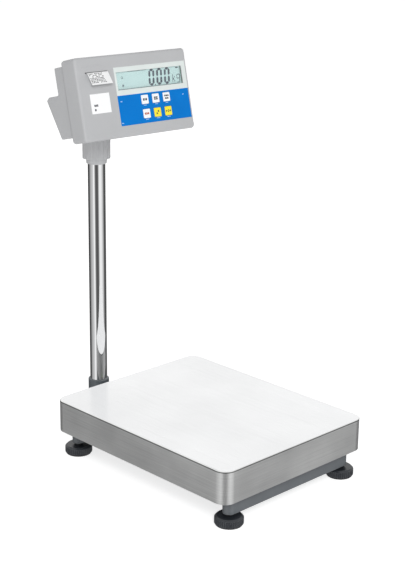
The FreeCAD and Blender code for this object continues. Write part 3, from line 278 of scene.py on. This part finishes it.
def overlay_film():
    """Printed polyester: pale display surround above, blue key field below."""
    material, tree, shader = new_material("overlay_film")
    vector = object_coordinates(tree)
    height = along_head(tree, 2)
    field = remap(tree, height, 0.0, 1.0, source=(BLUE_TOP - 0.15, BLUE_TOP + 0.15))
    drift = remap(tree, noise(tree, vector, 20.0, 4.0), 0.0, 1.0)
    blue = mix_colour(tree, drift, (0.0, 0.155, 0.52, 1), (0.0, 0.175, 0.575, 1))
    pale = mix_colour(tree, drift, (0.64, 0.69, 0.675, 1), (0.68, 0.73, 0.715, 1))
    tree.links.new(mix_colour(tree, field, blue, pale), shader.inputs["Base Color"])
    shader.inputs["Specular IOR Level"].default_value = 0.12
    fine = noise(tree, vector, 1500.0, 3.0)
    tree.links.new(remap(tree, fine, 0.32, 0.44), shader.inputs["Roughness"])
    add_bump(tree, shader, fine, 0.12, 0.00003)
    return material


def lcd_glass():
    material, tree, shader = new_material("lcd_glass")
    vector = object_coordinates(tree)
    drift = remap(tree, noise(tree, vector, 9.0, 2.0), 0.0, 1.0)
    tint = mix_colour(tree, drift, (0.455, 0.64, 0.635, 1), (0.49, 0.67, 0.665, 1))
    tree.links.new(tint, shader.inputs["Base Color"])
    cells = noise(tree, vector, 2500.0, 2.0)
    tree.links.new(remap(tree, cells, 0.22, 0.32), shader.inputs["Roughness"])
    add_bump(tree, shader, cells, 0.05, 0.00002)
    return material


def clear_window():
    material, tree, shader = new_material("window_clear")
    vector = object_coordinates(tree)
    haze = noise(tree, vector, 300.0, 4.0)
    tint = mix_colour(tree, remap(tree, haze, 0, 1), (0.92, 0.97, 0.96, 1), (0.96, 0.99, 0.98, 1))
    tree.links.new(tint, shader.inputs["Base Color"])
    tree.links.new(remap(tree, haze, 0.05, 0.11), shader.inputs["Roughness"])
    shader.inputs["Alpha"].default_value = 0.05
    return material


def make_materials():
    steel = (0.55, 0.56, 0.57)
    bright = (0.66, 0.67, 0.68)
    return {
        "pan_steel": brushed_pan(),
        "pole_chrome": chrome(),
        "overlay_film": overlay_film(),
        "lcd_glass": lcd_glass(),
        "window_clear": clear_window(),
        # Housing: the lighter colour along its edges is a painted edge highlight.
        "housing_plastic": surface("housing_plastic", (0.425, 0.43, 0.44), rough=0.46, spread=0.025,
                                   grain=1400, bump=0.35, bump_distance=0.00008, edge=0.0035,
                                   edge_wear_and_highlight=((0.62, 0.63, 0.64), 0.75)),
        "collar_plastic": surface("collar_plastic", (0.455, 0.46, 0.47), rough=0.38, spread=0.04,
                                  grain=1200, bump=0.3, edge_wear_and_highlight=((0.56, 0.57, 0.58), 0.4)),
        "frame_paint": surface("frame_paint", (0.115, 0.126, 0.137), rough=0.42, spread=0.08, grain=700,
                               bump=0.4, edge_wear_and_highlight=((0.30, 0.31, 0.32), 0.45), coat=0.15),
        "socket_paint": surface("socket_paint", (0.07, 0.082, 0.092), rough=0.4, spread=0.08, grain=700,
                                bump=0.3, edge_wear_and_highlight=((0.22, 0.23, 0.24), 0.5), coat=0.1),
        # Feet: the lighter colour along their edges and knurls is a painted highlight.
        "foot_plastic": surface("foot_plastic", (0.020, 0.023, 0.028), rough=0.32, spread=0.12, grain=1100,
                                bump=0.35, edge_wear_and_highlight=((0.16, 0.17, 0.18), 0.8)),
        "rubber_black": surface("rubber_black", (0.02, 0.02, 0.021), rough=0.78, spread=0.15, grain=1500,
                                bump=0.5),
        "cell_aluminium": surface("cell_aluminium", (0.72, 0.73, 0.75), rough=0.34, metal=1.0,
                                  stretch=(40, 1, 40), grain=60, bump=0.2),
        "spacer_steel": surface("spacer_steel", steel, rough=0.38, metal=1.0, grain=800),
        "fastener_steel": surface("fastener_steel", steel, rough=0.3, metal=1.0, grain=900,
                                  edge_wear_and_highlight=((0.8, 0.8, 0.8), 0.4)),
        "fastener_dark": surface("fastener_dark", (0.05, 0.052, 0.056), rough=0.4, metal=0.8, grain=900,
                                 edge_wear_and_highlight=((0.3, 0.3, 0.3), 0.4)),
        "level_body": surface("level_body", (0.02, 0.02, 0.02), rough=0.3, grain=900),
        "level_fluid": surface("level_fluid", (0.42, 0.66, 0.08), rough=0.1, spread=0.1, grain=300, bump=0.05,
                               coat=0.8),
        "bracket_steel": surface("bracket_steel", (0.33, 0.335, 0.345), rough=0.5, grain=500, bump=0.45,
                                 bump_distance=0.0001, edge_wear_and_highlight=((0.5, 0.5, 0.5), 0.3)),
        "knob_plastic": surface("knob_plastic", (0.025, 0.025, 0.028), rough=0.5, grain=1000, bump=0.4,
                                edge_wear_and_highlight=((0.12, 0.12, 0.12), 0.3)),
        "board_green": surface("board_green", (0.015, 0.16, 0.06), rough=0.35, spread=0.15, blotch=120,
                               grain=600),
        "battery_case": surface("battery_case", (0.05, 0.05, 0.055), rough=0.5, grain=800),
        "connector_black": surface("connector_black", (0.018, 0.018, 0.02), rough=0.35, grain=900),
        "connector_steel": surface("connector_steel", bright, rough=0.28, metal=1.0, grain=700),
        "print_ceramic": surface("print_ceramic", (0.30, 0.27, 0.24), rough=0.3, grain=600),
        "label_paper": surface("label_paper", (0.86, 0.865, 0.87), rough=0.72, spread=0.015, grain=2500,
                               bump=0.25, bump_distance=0.00004),
        "key_white": surface("key_white", (0.84, 0.85, 0.87), rough=0.34, spread=0.02, grain=1800, bump=0.12,
                             bump_distance=0.00003),
        "key_yellow": surface("key_yellow", (0.84, 0.71, 0.03), rough=0.34, spread=0.04, grain=1800,
                              bump=0.12, bump_distance=0.00003),
        "ink": surface("ink", (0.018, 0.022, 0.035), rough=0.45, spread=0.2, blotch=300, grain=2500,
                       bump=0.1),
        "grey_ink": surface("grey_ink", (0.045, 0.045, 0.05), rough=0.6, spread=0.2, blotch=300, grain=2500,
                            bump=0.1),
        # Dark LCD ink for the digits, unit and icons; also used for the painted shadow lines along the
        # display window's edges.
        "lcd_ink_and_edge_shadow": surface("lcd_ink_and_edge_shadow", (0.012, 0.03, 0.055), rough=0.3, spread=0.2, blotch=200, grain=2500,
                           bump=0.05),
        "light_print": surface("light_print", (0.55, 0.72, 0.90), rough=0.4, spread=0.08, blotch=300,
                               grain=2500, bump=0.1),
        "red_print": surface("red_print", (0.45, 0.10, 0.05), rough=0.45, spread=0.1, blotch=300, grain=2500,
                             bump=0.1),
    }


MATERIALS = make_materials()


def dress_nodes():
    """Every CAD node takes the material named by its slot in the record."""
    for entry in record["subparts"]:
        part = nodes[entry["node"]]
        part.data.materials.clear()
        part.data.materials.append(MATERIALS[entry["material_slot"]])
        for face in part.data.polygons:
            face.material_index = 0


# ---------------------------------------------------------------- small printed pieces

def finish_mesh(name, mesh_data, body, material):
    mesh = bpy.data.meshes.new(name)
    mesh_data.to_mesh(mesh)
    mesh_data.free()
    piece = bpy.data.objects.new(name, mesh)
    bpy.context.scene.collection.objects.link(piece)
    piece.data.materials.append(MATERIALS[material])
    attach(piece, body)
    return piece


def add_prism(mesh_data, outline, near, far):
    """Extrude a face outline (x, height) in millimetres between two depths."""
    front = [mesh_data.verts.new(inside_head(x, near, z)) for x, z in outline]
    back = [mesh_data.verts.new(inside_head(x, far, z)) for x, z in outline]
    count = len(outline)
    mesh_data.faces.new(front)
    mesh_data.faces.new(list(reversed(back)))
    for index in range(count):
        after = (index + 1) % count
        mesh_data.faces.new((front[after], front[index], back[index], back[after]))


def round_rectangle(x, z, width, height, radius, steps=5):
    """Outline of a rectangle with round corners, centred on x, z, anticlockwise."""
    points = []
    half_w, half_h = width / 2 - radius, height / 2 - radius
    for corner, (sx, sz) in enumerate(((1, 1), (-1, 1), (-1, -1), (1, -1))):
        for step in range(steps + 1):
            angle = math.pi / 2 * (corner + step / steps)
            points.append((x + sx * half_w + radius * math.cos(angle),
                           z + sz * half_h + radius * math.sin(angle)))
    return points


def ring_outline(x, z, radius, steps=20):
    return [(x + radius * math.cos(2 * math.pi * i / steps), z + radius * math.sin(2 * math.pi * i / steps))
            for i in range(steps)]


def add_ring(mesh_data, x, z, outer, inner, near, far, steps=20):
    loops = []
    for radius, depth in ((outer, near), (inner, near), (inner, far), (outer, far)):
        loops.append([mesh_data.verts.new(inside_head(px, depth, pz))
                      for px, pz in ring_outline(x, z, radius, steps)])
    for index in range(steps):
        after = (index + 1) % steps
        for level in range(4):
            a, b = loops[level], loops[(level + 1) % 4]
            mesh_data.faces.new((a[index], a[after], b[after], b[index]))


def flat_marks(name, shapes, near, far, body, material):
    mesh_data = bmesh.new()
    for outline in shapes:
        add_prism(mesh_data, outline, near, far)
    bmesh.ops.recalc_face_normals(mesh_data, faces=mesh_data.faces)
    return finish_mesh(name, mesh_data, body, material)


# ---------------------------------------------------------------- display contents

LCD_DEPTH = 4.08
DIGIT_HEIGHT, DIGIT_WIDTH, STROKE, LEAN = 34.0, 15.0, 5.0, 0.12
DIGIT_LOW, DIGIT_FIRST, DIGIT_PITCH = 96.2, 37.6, 20.0


def leaning(points, x, low):
    return [(x + px + LEAN * pz, low + pz) for px, pz in points]


def digit_segments(x, low, lit, width=DIGIT_WIDTH, height=DIGIT_HEIGHT, stroke=STROKE):
    """Seven-segment strokes with mitred ends, leaning to the right."""
    gap = stroke * 0.09
    half = height / 2
    bar = stroke / 2
    shapes = []
    for key, level in (("a", height - bar), ("g", half), ("d", bar)):
        if key in lit:
            left, right = bar + gap, width - bar - gap
            shapes.append([(left, level), (left + bar, level - bar), (right - bar, level - bar),
                           (right, level), (right - bar, level + bar), (left + bar, level + bar)])
    uprights = (("f", bar, half, height - bar), ("b", width - bar, half, height - bar),
                ("e", bar, bar, half), ("c", width - bar, bar, half))
    for key, across, low_end, high_end in uprights:
        if key in lit:
            foot, head = low_end + gap, high_end - gap
            shapes.append([(across, foot), (across + bar, foot + bar), (across + bar, head - bar),
                           (across, head), (across - bar, head - bar), (across - bar, foot + bar)])
    return [leaning(shape, x, low) for shape in shapes]


def stroke_line(x0, z0, x1, z1, thick):
    """A straight stroke with square ends."""
    run = Vector((x1 - x0, z1 - z0)).normalized() * thick / 2
    side = Vector((-run.y, run.x))
    corners = ((x0, z0, -1, -1), (x1, z1, 1, -1), (x1, z1, 1, 1), (x0, z0, -1, 1))
    return [(x + run.x * a + side.x * b, z + run.y * a + side.y * b) for x, z, a, b in corners]


def make_display():
    shapes = []
    for index in range(3):
        shapes += digit_segments(DIGIT_FIRST + index * DIGIT_PITCH, DIGIT_LOW, "abcdef")
    point = round_rectangle(DIGIT_FIRST + DIGIT_WIDTH + 2.4, DIGIT_LOW + 1.2, 2.4, 2.4, 0.6)
    shapes.append(point)
    flat_marks("lcd_digits", shapes, LCD_DEPTH - 0.06, LCD_DEPTH, "head", "lcd_ink_and_edge_shadow")

    unit = []
    left, low, tall, thick = 100.5, 99.5, 14.0, 1.25
    unit.append(stroke_line(left, low, left + LEAN * tall, low + tall, thick))
    middle = low + tall * 0.36
    unit.append(stroke_line(left + 1.6, middle, left + 6.4, low + tall * 0.74, thick))
    unit.append(stroke_line(left + 2.6, middle + 0.6, left + 5.8, low, thick))
    unit += digit_segments(left + 10.0, low - 3.0, "abcdfg", width=8.6, height=17.5, stroke=1.5)
    flat_marks("lcd_unit", unit, LCD_DEPTH - 0.06, LCD_DEPTH, "head", "lcd_ink_and_edge_shadow")

    icons = [round_rectangle(114.6, 127.4, 6.0, 2.6, 0.4), round_rectangle(118.4, 127.4, 0.9, 1.4, 0.2)]
    icons.append([(-29.4, 101.5), (-24.4, 101.5), (-26.9, 106.0)])
    icons.append(round_rectangle(-26.9, 100.4, 5.4, 0.8, 0.3))
    mesh_data = bmesh.new()
    for outline in icons:
        add_prism(mesh_data, outline, LCD_DEPTH - 0.06, LCD_DEPTH)
    add_ring(mesh_data, -26.9, 118.4, 2.5, 1.7, LCD_DEPTH - 0.06, LCD_DEPTH)
    bmesh.ops.recalc_face_normals(mesh_data, faces=mesh_data.faces)
    finish_mesh("lcd_icons", mesh_data, "head", "lcd_ink_and_edge_shadow")
    # Thin dark lines along the lower, upper and right edges of the display window: painted shadow of the
    # window's edge.
    edge_shadow_lines = [round_rectangle(39.5, 94.9, 160, 0.9, 0.3), round_rectangle(11.5, 129.2, 47, 0.7, 0.3),
              round_rectangle(121.2, 112, 0.6, 30, 0.2)]
    flat_marks("lcd_edge_shadow", edge_shadow_lines, LCD_DEPTH - 0.06, LCD_DEPTH, "head", "lcd_ink_and_edge_shadow")


# ---------------------------------------------------------------- keys and field print

KEY_FIRST, KEY_PITCH = 19.2, 27.85
KEY_ROWS = {"upper": 70.2, "lower": 41.5}
KEY_FACE = -0.4


def bars(x, z, widths, pitch=2.6, tall=1.3):
    """Short rows of generic bars standing in for a printed legend."""
    shapes = []
    for row, lengths in enumerate(widths):
        total = sum(lengths) + 0.7 * (len(lengths) - 1)
        cursor = x - total / 2
        level = z + pitch * ((len(widths) - 1) / 2 - row)
        for length in lengths:
            shapes.append(round_rectangle(cursor + length / 2, level, length, tall, 0.3, steps=3))
            cursor += length + 0.7
    return shapes


def arrow(x, z, way, size=2.2):
    return [(x, z), (x - way * size, z + size * 0.62), (x - way * size, z - size * 0.62)]


KEY_MARKS = {
    "upper_1": ("ink", lambda x, z: bars(x, z, [(3.4, 2.0, 3.2)], tall=4.6)),
    "upper_2": ("ink", lambda x, z: bars(x, z, [(4.6, 4.2), (4.2, 4.6)], pitch=3.6, tall=2.8)),
    "upper_3": ("ink", lambda x, z: bars(x, z, [(2.8, 4.0, 3.0), (4.6, 3.4)], pitch=5.4, tall=3.2)),
    "lower_1": ("red_print", lambda x, z: bars(x, z, [(3.4, 2.4, 3.6)], tall=4.2)),
    "lower_2": ("ink", lambda x, z: [arrow(x - 0.9, z + 2.2, -1, 4.2), arrow(x + 0.9, z - 2.2, 1, 4.2)]),
    "lower_3": ("ink", lambda x, z: [arrow(x - 2.8, z, 1, 3.6), arrow(x + 2.8, z, -1, 3.6)]),
}


def make_key_prints():
    for row, height in KEY_ROWS.items():
        for column in range(3):
            name = f"{row}_{column + 1}"
            x = KEY_FIRST + column * KEY_PITCH
            material, shapes = KEY_MARKS[name]
            mesh_data = bmesh.new()
            for outline in shapes(x, height):
                add_prism(mesh_data, outline, KEY_FACE - 0.05, KEY_FACE + 0.02)
            if name == "lower_3":
                add_ring(mesh_data, x, height, 2.3, 1.1, KEY_FACE - 0.05, KEY_FACE + 0.02)
            bmesh.ops.recalc_face_normals(mesh_data, faces=mesh_data.faces)
            finish_mesh("key_print_" + name, mesh_data, "key_" + name, material)


def make_field_print():
    """Small light legends under the keys and the three corner dots of the key field."""
    random.seed(7)
    shapes = []
    front = 0.1
    for height in KEY_ROWS.values():
        for column in range(3):
            x = KEY_FIRST + column * KEY_PITCH
            widths = [tuple(random.uniform(1.2, 2.6) for _ in range(3))]
            shapes += bars(x + random.uniform(-1, 2), height - 11.6, widths, tall=1.2)
    for x, z in ((-39.7, 71.3), (119.1, 71.5), (-43.5, 28.0)):
        shapes += bars(x, z, [(2.0, 1.4)], tall=1.4)
    flat_marks("field_print", shapes, front - 0.05, front + 0.02, "head", "light_print")


# ---------------------------------------------------------------- paper

def make_label_prints():
    """Marks on the blank data label."""
    shapes = bars(-102.0, 69.5, [(3.0, 2.2, 2.4)], tall=4.4) + bars(-104.8, 61.0, [(3.6,)], tall=4.2)
    flat_marks("data_label_print", shapes, -0.26, -0.21, "head", "ink")


STRIP_INSIDE, STRIP_BEND, STRIP_TAIL, STRIP_EXIT = 7.0, 4.0, 25.5, 134.6
STRIP_LEAN = math.radians(64)
BEND_STEPS, TAIL_STEPS = 8, 12


def strip_path():
    """Middle line of the paper strip in depth and height: straight, a bend, then a straight tail."""
    points = [(STRIP_INSIDE, STRIP_EXIT), (STRIP_INSIDE / 2, STRIP_EXIT), (0.0, STRIP_EXIT)]
    for step in range(1, BEND_STEPS + 1):
        angle = STRIP_LEAN * step / BEND_STEPS
        points.append((-STRIP_BEND * math.sin(angle), STRIP_EXIT - STRIP_BEND + STRIP_BEND * math.cos(angle)))
    end = points[-1]
    for step in range(1, TAIL_STEPS + 1):
        run = STRIP_TAIL * step / TAIL_STEPS
        points.append((end[0] - run * math.cos(STRIP_LEAN), end[1] - run * math.sin(STRIP_LEAN)))
    return points


def strip_point(along, lift):
    """A point on the strip: along runs from its inner end to the tip, lift is above the print side."""
    path = strip_path()
    travelled = 0.0
    for (d0, z0), (d1, z1) in zip(path, path[1:]):
        length = math.hypot(d1 - d0, z1 - z0)
        if travelled + length >= along or (d1, z1) == path[-1]:
            part = (along - travelled) / length
            depth = d0 + (d1 - d0) * part + lift * (z1 - z0) / length
            return depth, z0 + (z1 - z0) * part - lift * (d1 - d0) / length
        travelled += length
    return path[-1]


PRINT_ROWS, PRINT_START, PRINT_PITCH, PRINT_HEIGHT = 7, 11.5, 3.3, 1.7
PRINT_LEFT, PRINT_RIGHT, PRINT_LIFT = -112.0, -79.0, 0.16


def make_strip_print():
    """Generic printed rows on the strip, laid on its outer side."""
    random.seed(3)
    mesh_data = bmesh.new()
    for row in range(PRINT_ROWS):
        start = PRINT_START + row * PRINT_PITCH
        end = start + PRINT_HEIGHT
        cursor = PRINT_LEFT
        while cursor < PRINT_RIGHT:
            width = random.uniform(1.6, 4.2)
            if random.random() < 0.85:
                corners = []
                for x, along in ((cursor, start), (cursor + width, start), (cursor + width, end),
                                 (cursor, end)):
                    depth, height = strip_point(along, PRINT_LIFT)
                    corners.append(mesh_data.verts.new(inside_head(x, depth, height)))
                mesh_data.faces.new(corners)
            cursor += width + random.uniform(0.9, 1.6)
    made = bmesh.ops.extrude_face_region(mesh_data, geom=list(mesh_data.faces))
    moved = [part for part in made["geom"] if isinstance(part, bmesh.types.BMVert)]
    bmesh.ops.translate(mesh_data, verts=moved, vec=HEAD.to_3x3() @ Vector((0, -0.04 * MM, 0.02 * MM)))
    bmesh.ops.recalc_face_normals(mesh_data, faces=mesh_data.faces)
    finish_mesh("strip_print", mesh_data, "head", "grey_ink")


# ---------------------------------------------------------------- floor, light and camera

def make_floor():
    mesh = bpy.data.meshes.new("floor")
    reach = 14.0
    mesh.from_pydata([(-reach, -reach, 0), (reach, -reach, 0), (reach, reach, 0), (-reach, reach, 0)], [],
                     [(0, 1, 2, 3)])
    floor = bpy.data.objects.new("floor", mesh)
    bpy.context.scene.collection.objects.link(floor)
    material, tree, shader = new_material("floor_white")
    shader.inputs["Base Color"].default_value = (0.6, 0.6, 0.6, 1)
    shader.inputs["Roughness"].default_value = 0.9
    shader.inputs["Specular IOR Level"].default_value = 0.0
    shader.inputs["Emission Color"].default_value = (1, 1, 1, 1)
    shader.inputs["Emission Strength"].default_value = 0.74
    mesh.materials.append(material)
    floor.visible_glossy = False


CAMERA_AZIMUTH, CAMERA_ELEVATION, CAMERA_ROLL = math.radians(-44.46), math.radians(17.48), 0.0135
PAN_IN_VIEW = Vector((0.0088, -0.2438, -2.8243))
LENS, SENSOR = 85.54, 36.0


def camera_axes():
    back = Vector((math.sin(CAMERA_AZIMUTH) * math.cos(CAMERA_ELEVATION),
                   -math.cos(CAMERA_AZIMUTH) * math.cos(CAMERA_ELEVATION), math.sin(CAMERA_ELEVATION)))
    level = Vector((math.cos(CAMERA_AZIMUTH), math.sin(CAMERA_AZIMUTH), 0))
    upright = back.cross(level)
    right = level * math.cos(CAMERA_ROLL) + upright * math.sin(CAMERA_ROLL)
    up = upright * math.cos(CAMERA_ROLL) - level * math.sin(CAMERA_ROLL)
    return right, up, back


def make_camera():
    data = bpy.data.cameras.new("camera")
    data.sensor_width = SENSOR
    data.lens = LENS
    data.clip_end = 60
    camera = bpy.data.objects.new("camera", data)
    bpy.context.scene.collection.objects.link(camera)
    axes = Matrix(camera_axes()).transposed()
    low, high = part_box("weighing_pan")
    pan_top = Vector(((low.x + high.x) / 2, (low.y + high.y) / 2, high.z))
    camera.matrix_world = Matrix.Translation(pan_top - axes @ PAN_IN_VIEW) @ axes.to_4x4()
    bpy.context.scene.camera = camera


# What stands round the studio, below eye level: azimuth in degrees and brightness.
STUDIO = [(-180, 0.80), (-172, 1.0), (-163, 0.95), (-156, 0.40), (-146, 0.11), (-118, 0.09), (-110, 0.35),
          (-98, 0.95), (-72, 0.90), (-56, 0.62), (-42, 0.40), (-30, 0.08), (16, 0.08), (26, 0.45), (60, 0.55),
          (76, 0.06), (120, 0.06), (128, 0.30), (140, 0.40), (154, 0.50), (168, 0.62)]
AMBIENT = 0.46


def make_world():
    """White all round above eye level, panels and gaps below it."""
    world = bpy.data.worlds.new("studio")
    bpy.context.scene.world = world
    world.use_nodes = True
    tree = world.node_tree
    background = tree.nodes["Background"]
    coordinates = node(tree, "ShaderNodeTexCoord")
    split = node(tree, "ShaderNodeSeparateXYZ")
    tree.links.new(coordinates.outputs["Generated"], split.inputs["Vector"])
    azimuth = node(tree, "ShaderNodeMath", operation="ARCTAN2")
    tree.links.new(split.outputs["Y"], azimuth.inputs[0])
    tree.links.new(split.outputs["X"], azimuth.inputs[1])
    turn = remap(tree, azimuth.outputs["Value"], 0.0, 1.0, source=(-math.pi, math.pi))
    panels = node(tree, "ShaderNodeValToRGB")
    stops = panels.color_ramp.elements
    while len(stops) < len(STUDIO):
        stops.new(0.5)
    for stop, (degrees, bright) in zip(stops, STUDIO):
        stop.position = (degrees + 180) / 360
        stop.color = (bright, bright, bright, 1)
    tree.links.new(turn, panels.inputs["Fac"])
    high = remap(tree, split.outputs["Z"], 0.0, 1.0, source=(-0.05, 0.10))
    mirrored = mix_colour(tree, high, panels.outputs["Color"], (1.0, 1.0, 1.0, 1))
    path = node(tree, "ShaderNodeLightPath")
    seen = mix_colour(tree, path.outputs["Is Glossy Ray"], (AMBIENT, AMBIENT, AMBIENT, 1), mirrored)
    tree.links.new(mix_colour(tree, path.outputs["Is Camera Ray"], seen, (1.0, 1.0, 1.0, 1)),
                   background.inputs["Color"])
    background.inputs["Strength"].default_value = 1.0


def area_light(name, place, target, size, power, tint=(1, 1, 1)):
    data = bpy.data.lights.new(name, "AREA")
    data.shape = "RECTANGLE"
    data.size, data.size_y = size
    data.energy = power
    data.color = tint
    light = bpy.data.objects.new(name, data)
    light.location = place
    light.rotation_euler = (Vector(target) - Vector(place)).to_track_quat("-Z", "Y").to_euler()
    light.visible_glossy = False
    bpy.context.scene.collection.objects.link(light)


def make_lights():
    area_light("key", (-2.0, -2.6, 2.3), (0, 0, 0.5), (1.2, 1.2), 72)
    area_light("rim", (2.6, 2.2, 2.6), (0, 0, 0.4), (1.8, 1.8), 30)


# ---------------------------------------------------------------- build

dress_nodes()
make_display()
make_key_prints()
make_field_print()
make_label_prints()
make_strip_print()
make_floor()
make_camera()
make_world()
make_lights()
bpy.context.scene.view_settings.view_transform = "Standard"
